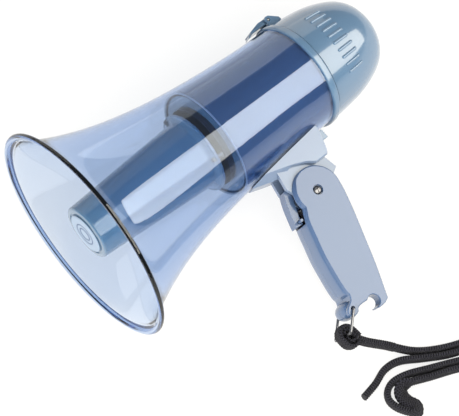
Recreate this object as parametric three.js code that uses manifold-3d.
// Handheld megaphone with a folding pistol handle, laid on its right side.
//
// It is drawn as it is held: X runs back along the horn from its mouth, Y to the user's right
// and Z up. The whole is then laid down on three points: the rim of the bell, the shoulder of the
// rear cap and the foot of the handle. Its wrist strap lies on the same surface, and is drawn there.

import * as THREE from "three";
import { mergeVertices } from "three/addons/utils/BufferGeometryUtils.js";
import Module from "manifold-3d";

const wasm = await Module();
wasm.setup();

// Driving dimensions, in millimetres and degrees.
const MOUTH_RADIUS = 75;
const BARREL_RADIUS = 37.3;
const OVERALL_LENGTH = 244.5;
const WALL = 2;
const GAP = 0.3;

// The bell flares as an exponential horn and ends in a short outward lip.
const FLARE_RADIUS = 33.5;
const FLARE_LENGTH = 62;
const FLARE_END_X = 165;
const LIP_RADIUS = MOUTH_RADIUS - BARREL_RADIUS - FLARE_RADIUS;
const LIP_LENGTH = 3;
const RIM_DEPTH = 3.6;
const RIM_X = 1.9;

// Stations along the horn.
const NOSE_X = 4.5;
const CUP_REAR_X = 94.5;
const CUP_SCREW_PITCH = 26.4;
const PLATE_X = 99;
const BAFFLE_X = 103.4;
const BARREL_END_X = 182.7;
const COLLAR_X = 183;
const SEAM_X = 187.8;

// The rear cap: a short skirt, a shoulder and a domed end with a flat face.
const CAP_RADIUS = 37.8;
const CAP_SHOULDER_X = 221;
const CAP_SHOULDER_RADIUS = 34.4;
const CAP_FACE_RADIUS = 19;
const COLLAR_RADIUS = 39;

// The handle hangs on a pivot below the mount block.
const PIVOT = { x: 139.6, z: -67.8 };
const PIVOT_PIN_RADIUS = 2.5;
const HANDLE_HALF_WIDTH = 13;
const CHEEK_INSIDE = 9.6;
const CHEEK_RADIUS = 16.6;
const HANDLE_FOOT = { x: 125, z: -150.6 };
const BAIL_HINGE = { x: 106.4, z: -139.9 };

// Roundness of turned pieces: large shells, small discs and screws.
const ROUND = 44;
const SMALL = 20;
const TINY = 10;

const DEGREE = Math.PI / 180;

// ---------------------------------------------------------------- materials

function plastic(color, roughness = 0.35) {
  return new THREE.MeshStandardMaterial({ color, roughness, metalness: 0 });
}

function metal(color, roughness = 0.25) {
  return new THREE.MeshStandardMaterial({ color, roughness, metalness: 1 });
}

const clearBlue = new THREE.MeshStandardMaterial({
  color: 0xa9c6e6,
  roughness: 0.08,
  metalness: 0,
  transparent: true,
  opacity: 0.45,
});
const deepBlue = plastic(0x4a68a6, 0.2);
const steelBlue = plastic(0x86a6c9);
const paleBlue = plastic(0xa8b8d6);
const black = plastic(0x16171c, 0.5);
const boardGreen = plastic(0x1f5a3a, 0.5);
const cellBlue = plastic(0x27303f, 0.3);
const foam = plastic(0x222326, 0.95);
const webbing = plastic(0x1b1b21, 0.9);
const paper = plastic(0x3a3a3d, 0.8);
const chrome = metal(0xd9dce0, 0.12);
const steel = metal(0xa9adb3, 0.35);
const copper = metal(0xb5673a, 0.3);
const ferrite = plastic(0x2b2b2e, 0.6);

// ------------------------------------------------------------ basic shapes

function turned(profile, segments = ROUND) {
  const points = profile.map(([x, radius]) => new THREE.Vector2(radius, x));
  return new THREE.LatheGeometry(points, segments).rotateZ(-Math.PI / 2);
}

function ring(x0, x1, inner, outer, segments = ROUND) {
  return turned([[x0, inner], [x0, outer], [x1, outer], [x1, inner], [x0, inner]], segments);
}

function rod(x0, x1, radius, segments = SMALL) {
  return turned([[x0, 0], [x0, radius], [x1, radius], [x1, 0]], segments);
}

function pin(y0, y1, radius, centre, segments = TINY) {
  const shape = new THREE.CylinderGeometry(radius, radius, y1 - y0, segments);
  return shape.translate(centre.x, (y0 + y1) / 2, centre.z);
}

function block(x0, x1, y0, y1, z0, z1) {
  const shape = new THREE.BoxGeometry(x1 - x0, y1 - y0, z1 - z0);
  return shape.translate((x0 + x1) / 2, (y0 + y1) / 2, (z0 + z1) / 2);
}

// A side view outline (X, Z) given a thickness from y0 to y1.
function plate(shape, y0, y1, curveSegments = 5) {
  const options = { depth: y1 - y0, bevelEnabled: false, curveSegments };
  return new THREE.ExtrudeGeometry(shape, options).rotateX(Math.PI / 2).translate(0, y1, 0);
}

function polygon(points) {
  return new THREE.Shape(points.map(([x, z]) => new THREE.Vector2(x, z)));
}

function vectors(points) {
  return points.map(([x, z]) => new THREE.Vector2(x, z));
}

// ---------------------------------------------------------------- booleans

function solidOf(geometry) {
  const bare = geometry.clone();
  bare.deleteAttribute("normal");
  bare.deleteAttribute("uv");
  const merged = mergeVertices(bare, 1e-4);
  const corners = Array.from(merged.index.array);
  const triVerts = [];
  for (let i = 0; i < corners.length; i += 3) {
    const [a, b, c] = corners.slice(i, i + 3);
    if (a !== b && b !== c && c !== a) {
      triVerts.push(a, b, c);
    }
  }
  const vertProperties = merged.attributes.position.array;
  return new wasm.Manifold(
    new wasm.Mesh({ numProp: 3, vertProperties, triVerts: new Uint32Array(triVerts) }),
  );
}

function geometryOf(solid) {
  const mesh = solid.getMesh();
  const geometry = new THREE.BufferGeometry();
  geometry.setAttribute("position", new THREE.BufferAttribute(mesh.vertProperties, 3));
  geometry.setIndex(new THREE.BufferAttribute(mesh.triVerts, 1));
  geometry.computeVertexNormals();
  return geometry;
}

function joined(first, ...others) {
  return geometryOf(others.reduce((sum, other) => sum.add(solidOf(other)), solidOf(first)));
}

function cut(body, ...tools) {
  return geometryOf(tools.reduce((rest, tool) => rest.subtract(solidOf(tool)), solidOf(body)));
}

function common(first, second) {
  return geometryOf(solidOf(first).intersect(solidOf(second)));
}

// ------------------------------------------------------------------- horn

function hornRadius(x) {
  const tail = Math.exp(-FLARE_END_X / FLARE_LENGTH);
  const spread = Math.max(0, (Math.exp(-x / FLARE_LENGTH) - tail) / (1 - tail));
  return BARREL_RADIUS + FLARE_RADIUS * spread + LIP_RADIUS * Math.exp(-x / LIP_LENGTH);
}

function hornProfile(stations, offset) {
  return stations.map((x) => [x, hornRadius(x) + offset]);
}

function hornShell() {
  const stations = [RIM_DEPTH, 8, 15, 24, 35, 49, 65, 84, 106, 134, FLARE_END_X, BARREL_END_X];
  const outside = hornProfile(stations, 0);
  const inside = hornProfile(stations, -WALL).reverse();
  const rim = [
    [1, MOUTH_RADIUS - 3.8],
    [0, MOUTH_RADIUS - 2.4],
    [0.6, MOUTH_RADIUS - 0.7],
    [RIM_X, MOUTH_RADIUS],
    [3, MOUTH_RADIUS - 0.7],
  ];
  return turned([...rim, ...outside, ...inside, rim[0]]);
}

function barrelLiner() {
  const stations = [BAFFLE_X - 0.4, 120, 140, FLARE_END_X, BARREL_END_X];
  const outside = hornProfile(stations, -WALL - GAP);
  const inside = hornProfile(stations, -2 * WALL).reverse();
  return turned([...outside, ...inside, outside[0]]);
}

function bafflePlate() {
  return ring(BAFFLE_X, BAFFLE_X + 2.6, 22, 36.2);
}

function collarRing() {
  return ring(COLLAR_X, SEAM_X - GAP, 33.6, COLLAR_RADIUS);
}

// The reflector cup is closed in front and open behind, where a flange carries its screws.
function reflectorCup() {
  const frontRadius = 18.5;
  const rearRadius = 24;
  const flangeRadius = 28.5;
  return turned([
    [NOSE_X, 0],
    [NOSE_X, frontRadius - 3.2],
    [NOSE_X + 1, frontRadius - 1],
    [NOSE_X + 3.4, frontRadius],
    [CUP_REAR_X - WALL, rearRadius],
    [CUP_REAR_X - WALL, flangeRadius],
    [CUP_REAR_X, flangeRadius],
    [CUP_REAR_X, rearRadius - 1.8],
    [NOSE_X + 4, frontRadius - 1.8],
    [NOSE_X + 2, frontRadius - 4],
    [NOSE_X + 2, 0],
  ], 40);
}

function noseBadge() {
  return rod(NOSE_X - 1, NOSE_X - GAP, 12.6, 32);
}

// The throat tube carries the sound forward from the driver, and widens towards the nose.
const THROAT_MOUTH_X = 44;

function throatTube() {
  return turned([
    [THROAT_MOUTH_X, 11.2],
    [THROAT_MOUTH_X, 12.4],
    [PLATE_X - GAP, 9],
    [PLATE_X - GAP, 7.6],
    [THROAT_MOUTH_X, 11.2],
  ], SMALL);
}

function onScrewCircle(shape, angle) {
  return shape.translate(0, CUP_SCREW_PITCH * Math.cos(angle), CUP_SCREW_PITCH * Math.sin(angle));
}

function cupScrew(angle) {
  const flangeFront = CUP_REAR_X - WALL;
  const screw = turned([
    [flangeFront - 1.9, 0],
    [flangeFront - 1.9, 1.4],
    [flangeFront - GAP, 1.8],
    [flangeFront - GAP, 0],
  ], TINY);
  return onScrewCircle(screw, angle);
}

function cupStandoff(angle) {
  return onScrewCircle(rod(CUP_REAR_X + GAP, PLATE_X - GAP, 1.8, TINY), angle);
}

// ----------------------------------------------------------------- driver

function driverPlate() {
  return ring(PLATE_X, BAFFLE_X - GAP, 6.5, 28.5, 40);
}

function driverBasket() {
  return ring(BAFFLE_X + GAP, 113.5, 19.6, 21.4, 32);
}

function diaphragm() {
  return turned([
    [107.6, 0],
    [106.8, 6],
    [104.4, 12.4],
    [105.4, 18.6],
    [106, 18.6],
    [105.1, 12.4],
    [107.5, 6],
    [108.3, 0],
  ], 32);
}

function voiceCoil() {
  return ring(108.6, 115.5, 12.2, 12.9, SMALL);
}

function driverMagnet() {
  return ring(113.9, 122, 15, 27, 32);
}

function magnetYoke() {
  return turned([
    [110.4, 0],
    [110.4, 11],
    [122.3, 11],
    [122.3, 27],
    [125, 27],
    [125, 0],
  ], 32);
}

// ------------------------------------------------- electronics and battery

const BOARD_X = 127.4;
const CELL_RADIUS = 12.9;
const CELL_START_X = 134.6;
const CELL_LENGTH = 46;
const CELL_PITCH = 18.6;

function amplifierBoard() {
  return rod(BOARD_X, BOARD_X + 1.6, 31, 32);
}

function amplifierChip() {
  return block(BOARD_X + 1.6 + GAP, BOARD_X + 4.6, -5, 5, 18, 27);
}

function batteryCarrier() {
  const endPlate = solidOf(rod(132.6, 133.8, 32, 40));
  const spine = solidOf(block(133, 180, -2.4, 2.4, -2.4, 2.4));
  return geometryOf(endPlate.add(spine));
}

function cell(angle) {
  const shape = turned([
    [CELL_START_X, 0],
    [CELL_START_X, CELL_RADIUS],
    [CELL_START_X + CELL_LENGTH, CELL_RADIUS],
    [CELL_START_X + CELL_LENGTH, 3.2],
    [CELL_START_X + CELL_LENGTH + 1.6, 3.2],
    [CELL_START_X + CELL_LENGTH + 1.6, 0],
  ], SMALL);
  return shape.translate(0, CELL_PITCH * Math.cos(angle), CELL_PITCH * Math.sin(angle));
}

function contactPlate() {
  return rod(SEAM_X + 1.4, SEAM_X + 2.4, 30, 32);
}

// --------------------------------------------------------------- rear cap

const MIC = { y: 0, z: 6.5, radius: 9 };
const KNOB = { y: 0, z: -11.5, radius: 5 };
const KNOB_SHAFT_RADIUS = 2;
const CAP_WALL = 2.2;
const SPIGOT_DEPTH = 3.6;

function capProfile() {
  const domeDepth = OVERALL_LENGTH - CAP_SHOULDER_X;
  const dome = [18, 36, 54, 72].map((degrees) => [
    CAP_SHOULDER_X + domeDepth * Math.sin(degrees * DEGREE),
    CAP_FACE_RADIUS + (CAP_SHOULDER_RADIUS - CAP_FACE_RADIUS) * Math.cos(degrees * DEGREE),
  ]);
  return [
    [SEAM_X, CAP_RADIUS],
    [CAP_SHOULDER_X, CAP_SHOULDER_RADIUS],
    ...dome,
    [OVERALL_LENGTH, CAP_FACE_RADIUS],
  ];
}

function capBody() {
  const outside = capProfile();
  const inside = outside.slice(0, -1).map(([x, radius]) => [x, radius - CAP_WALL]).reverse();
  return turned([
    ...outside,
    [OVERALL_LENGTH, 0],
    [OVERALL_LENGTH - CAP_WALL, 0],
    [OVERALL_LENGTH - CAP_WALL, CAP_FACE_RADIUS - 1.5],
    ...inside,
    [SEAM_X, 30.6],
    [SEAM_X - SPIGOT_DEPTH, 30.6],
    [SEAM_X - SPIGOT_DEPTH, 33.2],
    [SEAM_X, 33.2],
    outside[0],
  ]);
}

// Grip ribs stand in a group on each side of the cap, and follow its taper.
const RIB_COUNT = 10;
const RIB_PITCH = 8.4 * DEGREE;
const RIB_START = -40 * DEGREE;
const RIB_HALF_WIDTH = 0.7;
const RIB_HEIGHT = 0.75;
const RIB_FRONT_X = 202;
const RIB_REAR_X = 215.5;

function capRib(angle) {
  const surface = (x) => {
    const along = (x - SEAM_X) / (CAP_SHOULDER_X - SEAM_X);
    return CAP_RADIUS + along * (CAP_SHOULDER_RADIUS - CAP_RADIUS);
  };
  const root = 1.5;
  const outline = polygon([
    [RIB_FRONT_X, surface(RIB_FRONT_X) - root],
    [RIB_FRONT_X, surface(RIB_FRONT_X) + RIB_HEIGHT],
    [RIB_REAR_X, surface(RIB_REAR_X) + RIB_HEIGHT],
    [RIB_REAR_X, surface(RIB_REAR_X) - root],
  ]);
  return plate(outline, -RIB_HALF_WIDTH, RIB_HALF_WIDTH).rotateX(angle);
}

function rearCap() {
  const ribs = [];
  for (const side of [1, -1]) {
    for (let i = 0; i < RIB_COUNT; i += 1) {
      ribs.push(capRib(side * (Math.PI / 2 + RIB_START + RIB_PITCH * i)));
    }
  }
  const ribbed = joined(capBody(), ...ribs);
  const through = [OVERALL_LENGTH - 8, OVERALL_LENGTH + 4];
  return cut(
    ribbed,
    rod(...through, MIC.radius + GAP).translate(0, MIC.y, MIC.z),
    rod(...through, KNOB_SHAFT_RADIUS + GAP, TINY).translate(0, KNOB.y, KNOB.z),
  );
}

function micGrille() {
  return rod(OVERALL_LENGTH - 1.4, OVERALL_LENGTH + 0.4, MIC.radius).translate(0, MIC.y, MIC.z);
}

function micFoam() {
  const x1 = OVERALL_LENGTH - 2.5;
  return rod(x1 - 2.4, x1, MIC.radius - 0.4).translate(0, MIC.y, MIC.z);
}

function micCapsule() {
  const x1 = OVERALL_LENGTH - 5.2;
  return rod(x1 - 6, x1, 4.9).translate(0, MIC.y, MIC.z);
}

function volumeKnob() {
  const profile = [
    [OVERALL_LENGTH - 5, 0],
    [OVERALL_LENGTH - 5, KNOB_SHAFT_RADIUS],
    [OVERALL_LENGTH + 0.5, KNOB_SHAFT_RADIUS],
    [OVERALL_LENGTH + 0.5, KNOB.radius],
    [OVERALL_LENGTH + 5, KNOB.radius - 0.5],
    [OVERALL_LENGTH + 5, 0],
  ];
  return turned(profile, SMALL).translate(0, KNOB.y, KNOB.z);
}

function volumeControl() {
  const x1 = OVERALL_LENGTH - 5.4;
  return rod(x1 - 5, x1, 5.6).translate(0, KNOB.y, KNOB.z);
}

// ------------------------------------------------------------------ latch

const LATCH_PIN = { x: 193.2, z: 40.9, radius: 0.9 };

function latchBase() {
  const outline = polygon([
    [190.6, 33],
    [190.6, 42.4],
    [192, 43.6],
    [194.6, 43.4],
    [200.6, 38.6],
    [201.6, 33],
  ]);
  const clearOfCap = capProfile().slice(0, 2).map(([x, radius]) => [x, radius + GAP]);
  const bodyUnder = turned([[180, 0], ...clearOfCap, [CAP_SHOULDER_X, 0]]);
  return cut(
    plate(outline, -6.4, 6.4),
    bodyUnder,
    pin(-4, 4, 3.1, LATCH_PIN, SMALL),
    block(188, LATCH_PIN.x, -4, 4, 37.9, 50),
    pin(-7, 7, LATCH_PIN.radius + GAP, LATCH_PIN),
  );
}

function latchLever() {
  const outline = polygon([
    [173.8, 38.1],
    [175.2, 39.6],
    [179, 41.6],
    [186.3, 43.4],
    [193.2, 43.3],
    [195.6, 40.9],
    [194.2, 38.9],
    [191.8, 38.9],
    [189, 39.7],
    [178.4, 39.7],
  ]);
  const arm = plate(outline, -3.7, 3.7);
  const thumbPlate = block(176.6, 188.6, -6, 6, 39.8, 41);
  return cut(joined(arm, thumbPlate), pin(-5, 5, LATCH_PIN.radius + GAP, LATCH_PIN));
}

function latchPin() {
  return pin(-6.2, 6.2, LATCH_PIN.radius, LATCH_PIN);
}

// ------------------------------------------------------------ mount block

const EAR_INSIDE = 5.4;
const EAR_OUTSIDE = 8.8;
const EAR_RADIUS = 9;
const SWEEP_RADIUS = 22.6;

function earOutline() {
  const shape = new THREE.Shape();
  shape.moveTo(126.5, -42);
  shape.lineTo(124.2, -55.5);
  shape.absarc(PIVOT.x, PIVOT.z, EAR_RADIUS, 195 * DEGREE, 340 * DEGREE, false);
  shape.lineTo(162.3, -63.2);
  shape.lineTo(159.6, -52);
  shape.lineTo(159.6, -42);
  return shape;
}

function mountBlock() {
  const side = polygon([
    [108.6, -30],
    [108.6, -41.8],
    [123.5, -46.2],
    [144, -49.4],
    [151, -53.4],
    [158, -53.6],
    [161.6, -51],
    [165.8, -38.5],
    [165.8, -30],
  ]);
  const taper = new THREE.Shape(vectors([[106, -8], [166, -15.6], [166, 15.6], [106, 8]]));
  const upright = new THREE.ExtrudeGeometry(taper, { depth: 60, bevelEnabled: false });
  const body = common(plate(side, -16, 16), upright.translate(0, 0, -80));
  const barrel = turned([
    [100, 0],
    ...hornProfile([100, 112, 126, 142, FLARE_END_X, 170], GAP),
    [170, 0],
  ]);
  const hollow = cut(body, barrel, pin(-11, 11, SWEEP_RADIUS, PIVOT, ROUND));
  const webOutline = polygon([[157.6, -44], [157.6, -64], [162.3, -63.2], [159.6, -52], [159.6, -44]]);
  const eared = joined(
    hollow,
    plate(earOutline(), -EAR_OUTSIDE, -EAR_INSIDE),
    plate(earOutline(), EAR_INSIDE, EAR_OUTSIDE),
    plate(webOutline, -EAR_OUTSIDE, EAR_OUTSIDE),
  );
  return cut(eared, pin(-12, 12, PIVOT_PIN_RADIUS + GAP, PIVOT, SMALL), barrel);
}

function modeSwitch() {
  const outline = polygon([[166.4, -38.3], [171, -38], [171.6, -44.8], [164.4, -44.8]]);
  return plate(outline, -8.5, -3.5);
}

// ----------------------------------------------------------------- handle

const HEEL = { x: 109, z: -136, radius: 8 };
const TRIGGER_HINGE = { x: 118.6, z: -76.6 };
const TRIGGER_PIN_RADIUS = 1;
const WINDOW_HALF_WIDTH = 9.2;
const BAIL_HOLE_RADIUS = 1.3;

// One side panel of the grip: round head, curved edges, and a bitten foot.
function cheekOutline() {
  const shape = new THREE.Shape();
  shape.absarc(PIVOT.x, PIVOT.z, CHEEK_RADIUS, -5 * DEGREE, 200 * DEGREE, false);
  shape.splineThru(vectors([[119.8, -90], [116.6, -108], [112.6, -124], [107, -128.4]]));
  shape.absarc(HEEL.x, HEEL.z, HEEL.radius, 110 * DEGREE, 265 * DEGREE, false);
  shape.lineTo(117.8, -141.9);
  shape.absarc(121, -144.9, 4.3, 135 * DEGREE, -125 * DEGREE, true);
  shape.lineTo(121, -150.2);
  shape.lineTo(HANDLE_FOOT.x + 1, HANDLE_FOOT.z);
  shape.lineTo(130.2, -148.9);
  shape.splineThru(vectors([[138.4, -128.2], [144.8, -109.9], [151.1, -92], [154.9, -79]]));
  return shape;
}

// The front of the grip bulges forward of its side panels.
function frontOutline() {
  const shape = new THREE.Shape();
  shape.moveTo(127.5, -60);
  shape.lineTo(121.5, -60);
  shape.splineThru(vectors([[115.2, -80.8], [110.5, -101.3], [107.6, -119.5], [105.6, -128.7]]));
  shape.absarc(HEEL.x, HEEL.z, HEEL.radius, 115 * DEGREE, 265 * DEGREE, false);
  shape.lineTo(111.5, -138);
  shape.lineTo(113.4, -124);
  shape.splineThru(vectors([[116.6, -102], [121.4, -81]]));
  return shape;
}

function handleShell(side) {
  const cheek = [CHEEK_INSIDE * side, HANDLE_HALF_WIDTH * side].sort((a, b) => a - b);
  const front = [0.15 * side, 10.8 * side].sort((a, b) => a - b);
  const shell = joined(plate(cheekOutline(), ...cheek), plate(frontOutline(), ...front));
  return cut(
    shell,
    block(100, 135, -WINDOW_HALF_WIDTH, WINDOW_HALF_WIDTH, -80, -50),
    pin(-20, 20, PIVOT_PIN_RADIUS + GAP, PIVOT, SMALL),
    pin(-20, -11.4, 3.4, PIVOT, SMALL),
    pin(-20, 20, TRIGGER_PIN_RADIUS + GAP, TRIGGER_HINGE),
    pin(-20, 20, BAIL_HOLE_RADIUS, BAIL_HINGE),
    block(100, 135, -WINDOW_HALF_WIDTH, WINDOW_HALF_WIDTH, -141.5, -138),
  );
}

function pivotPin() {
  return pin(-9.3, 12.4, PIVOT_PIN_RADIUS, PIVOT, SMALL);
}

function pivotScrew() {
  return joined(pin(-12.9, -11.7, 3, PIVOT, SMALL), pin(-11.8, -9.6, 2.2, PIVOT, SMALL));
}

function trigger() {
  const shape = new THREE.Shape();
  shape.moveTo(127.6, -54.6);
  shape.lineTo(123, -55.4);
  shape.splineThru(vectors([[119.2, -64], [115.4, -76], [115, -78.4]]));
  shape.lineTo(119.8, -79);
  shape.splineThru(vectors([[121.6, -72], [127.6, -58]]));
  return cut(plate(shape, -4.7, 4.7), pin(-6, 6, TRIGGER_PIN_RADIUS + GAP, TRIGGER_HINGE));
}

function triggerPin() {
  return pin(-9.9, 9.9, TRIGGER_PIN_RADIUS, TRIGGER_HINGE);
}

function triggerSwitch() {
  return block(128.4, 133.6, -3.2, 3.2, -84, -74.6);
}

function switchBracket() {
  const crossbar = block(134, 135.4, -WINDOW_HALF_WIDTH, WINDOW_HALF_WIDTH, -95, -86);
  const tongue = block(134, 135.4, -3.2, 3.2, -87, -76);
  return joined(crossbar, tongue);
}

function triggerLeafSpring() {
  const outline = polygon([[123.6, -83], [124.2, -83], [126.4, -71], [125.8, -71]]);
  return plate(outline, -2.2, 2.2);
}

// ------------------------------------------------------------------- bail

const BAIL_HALF_WIDTH = 14.3;
const BAIL_REACH = 16.4;
const BAIL_DIRECTION = 221 * DEGREE;
const WIRE_RADIUS = 0.9;

function alongBail(distance) {
  return {
    x: BAIL_HINGE.x + distance * Math.cos(BAIL_DIRECTION),
    z: BAIL_HINGE.z + distance * Math.sin(BAIL_DIRECTION),
  };
}

function bailWire() {
  const corner = 1.6;
  const hinge = alongBail(0);
  const end = alongBail(BAIL_REACH);
  const nearHinge = alongBail(corner);
  const nearEnd = alongBail(BAIL_REACH - corner);
  const path = new THREE.CurvePath();
  const at = (point, y) => new THREE.Vector3(point.x, y, point.z);
  const w = BAIL_HALF_WIDTH;
  path.add(new THREE.LineCurve3(at(hinge, -10), at(hinge, corner - w)));
  path.add(new THREE.QuadraticBezierCurve3(at(hinge, corner - w), at(hinge, -w), at(nearHinge, -w)));
  path.add(new THREE.LineCurve3(at(nearHinge, -w), at(nearEnd, -w)));
  path.add(new THREE.QuadraticBezierCurve3(at(nearEnd, -w), at(end, -w), at(end, corner - w)));
  path.add(new THREE.LineCurve3(at(end, corner - w), at(end, w - corner)));
  path.add(new THREE.QuadraticBezierCurve3(at(end, w - corner), at(end, w), at(nearEnd, w)));
  path.add(new THREE.LineCurve3(at(nearEnd, w), at(nearHinge, w)));
  path.add(new THREE.QuadraticBezierCurve3(at(nearHinge, w), at(hinge, w), at(hinge, w - corner)));
  path.add(new THREE.LineCurve3(at(hinge, w - corner), at(hinge, 10)));
  const section = new THREE.Shape().absarc(0, 0, WIRE_RADIUS, 0, 2 * Math.PI);
  const options = { extrudePath: path, steps: 40, curveSegments: 3 };
  return new THREE.ExtrudeGeometry(section, options);
}

// ------------------------------------------------------------------ strap

const STRAP_WIDTH = 11;
const STRAP_THICKNESS = 3.6;
const STRAP_STEPS = 78;
const STRAP_FLAT_STEP = 39; // a step on the level run, where the section is stood upright

// The stitched loop of webbing round the bail's bar.
function strapLoop() {
  const bar = alongBail(BAIL_REACH);
  return cut(pin(-6, 6, 4.4, bar, SMALL), pin(-7, 7, WIRE_RADIUS + GAP, bar, TINY));
}

// The strap stands on its edge. It leaves the loop, comes down to the surface, runs out to the
// side, turns back on itself, doubles over, and turns back again to its free end. The points are
// in the frame of the finished object.
const STRAP_ROUTE = [
  [-26.6, -111.8, 17.4],
  [-21.4, -118.6, 12],
  [-12.6, -128.6, 7.8],
  [-2.6, -142.4, 6.2],
  [9, -152, 6],
  [24, -160.2, 6],
  [40, -165.6, 6],
  [54, -171.6, 6],
  [60.4, -182, 6],
  [54.4, -191.8, 6],
  [42.6, -190.8, 6],
  [27, -181.2, 6],
  [10.8, -170.6, 6],
  [-5.6, -162.4, 6],
  [-17, -156.4, 6],
  [-23.4, -154.4, 6],
  [-27.8, -158, 6],
  [-28, -163.7, 6],
  [-25.8, -169, 6],
  [-28.4, -172.6, 6],
  [-31.8, -169, 6],
  [-35.4, -162, 6],
  [-36, -155.4, 6],
  [-32.6, -150.4, 6],
  [-26, -148.4, 6],
  [-16, -151, 6],
  [-4, -157.4, 6],
  [12, -166, 6],
  [28, -175.4, 6],
  [41, -183.6, 6],
  [49, -184, 6],
  [50, -177.6, 6],
  [41, -172.2, 6],
  [26, -166.2, 6],
  [12, -159.4, 6],
  [-1, -150.4, 6],
  [-13.3, -141.6, 6],
  [-24, -139.2, 6],
  [-35, -141.8, 6],
  [-46.3, -143, 6],
];

function wristStrap() {
  const route = new THREE.CatmullRomCurve3(STRAP_ROUTE.map(([x, y, z]) => new THREE.Vector3(x, y, z)));
  const frames = route.computeFrenetFrames(STRAP_STEPS, false);
  const lean = Math.atan2(frames.normals[STRAP_FLAT_STEP].z, frames.binormals[STRAP_FLAT_STEP].z);
  const width = STRAP_WIDTH / 2;
  const side = STRAP_THICKNESS / 2;
  const edge = side / 2;
  const upright = ([w, s]) => [w * Math.sin(lean) + s * Math.cos(lean), w * Math.cos(lean) - s * Math.sin(lean)];
  const section = new THREE.Shape(vectors([
    [-width, -edge],
    [edge - width, -side],
    [width - edge, -side],
    [width, -edge],
    [width, edge],
    [width - edge, side],
    [edge - width, side],
    [-width, edge],
  ].map(upright)));
  return new THREE.ExtrudeGeometry(section, { extrudePath: route, steps: STRAP_STEPS });
}

// --------------------------------------------------------------- assembly

const held = new THREE.Group();

function add(name, geometry, material) {
  const mesh = new THREE.Mesh(geometry, material);
  mesh.name = name;
  held.add(mesh);
}

add("horn_shell", hornShell(), clearBlue);
add("barrel_liner", barrelLiner(), deepBlue);
add("baffle_plate", bafflePlate(), steelBlue);
add("collar_ring", collarRing(), steelBlue);
add("reflector_cup", reflectorCup(), steelBlue);
add("nose_badge", noseBadge(), paleBlue);
add("throat_tube", throatTube(), black);
for (let i = 0; i < 3; i += 1) {
  const angle = (90 + 120 * i) * DEGREE;
  add(`cup_screw_${i + 1}`, cupScrew(angle), chrome);
  add(`cup_standoff_${i + 1}`, cupStandoff(angle), chrome);
}

add("driver_plate", driverPlate(), black);
add("driver_basket", driverBasket(), steel);
add("driver_diaphragm", diaphragm(), paper);
add("voice_coil", voiceCoil(), copper);
add("driver_magnet", driverMagnet(), ferrite);
add("magnet_yoke", magnetYoke(), steel);

add("amplifier_board", amplifierBoard(), boardGreen);
add("amplifier_chip", amplifierChip(), black);
add("battery_carrier", batteryCarrier(), black);
for (let i = 0; i < 4; i += 1) {
  add(`battery_cell_${i + 1}`, cell((45 + 90 * i) * DEGREE), cellBlue);
}
add("battery_contact_plate", contactPlate(), steel);

add("rear_cap", rearCap(), steelBlue);
add("mic_grille", micGrille(), black);
add("mic_foam", micFoam(), foam);
add("mic_capsule", micCapsule(), steel);
add("volume_knob", volumeKnob(), black);
add("volume_control", volumeControl(), steel);

add("latch_base", latchBase(), steelBlue);
add("latch_lever", latchLever(), steelBlue);
add("latch_pin", latchPin(), steel);

add("mount_block", mountBlock(), paleBlue);
add("mode_switch", modeSwitch(), steelBlue);

add("handle_left", handleShell(-1), paleBlue);
add("handle_right", handleShell(1), paleBlue);
add("pivot_pin", pivotPin(), steel);
add("pivot_screw", pivotScrew(), chrome);
add("trigger", trigger(), steelBlue);
add("trigger_pin", triggerPin(), steel);
add("trigger_switch", triggerSwitch(), black);
add("switch_bracket", switchBracket(), steel);
add("trigger_leaf_spring", triggerLeafSpring(), steel);
add("bail_wire", bailWire(), chrome);

// Laying it down: the horn's axis dips from the rim to the cap's shoulder, and the megaphone rolls
// about that axis until the foot of the handle's right side touches the surface.
const dip = Math.min(
  ...capProfile().map(([x, radius]) => Math.atan2(MOUTH_RADIUS - radius, x - RIM_X)),
);
const footReach = Math.hypot(HANDLE_HALF_WIDTH, HANDLE_FOOT.z);
const footPhase = Math.atan2(HANDLE_HALF_WIDTH, -HANDLE_FOOT.z);
const footDrop = MOUTH_RADIUS - (HANDLE_FOOT.x - RIM_X) * Math.tan(dip);
const roll = Math.asin(footDrop / footReach) - footPhase;
held.rotation.set(roll - Math.PI / 2, dip, 0, "YXZ");

const megaphone = new THREE.Group();
megaphone.add(held);
megaphone.updateMatrixWorld(true);

// The origin is the middle of the bottom of the megaphone's own box, without its strap.
const box = new THREE.Box3().setFromObject(held, true);
const middle = box.getCenter(new THREE.Vector3());
held.position.set(-middle.x, -middle.y, -box.min.z);

add("strap_loop", strapLoop(), webbing);
const strap = new THREE.Mesh(wristStrap(), webbing);
strap.name = "wrist_strap";
megaphone.add(strap);

export default megaphone;
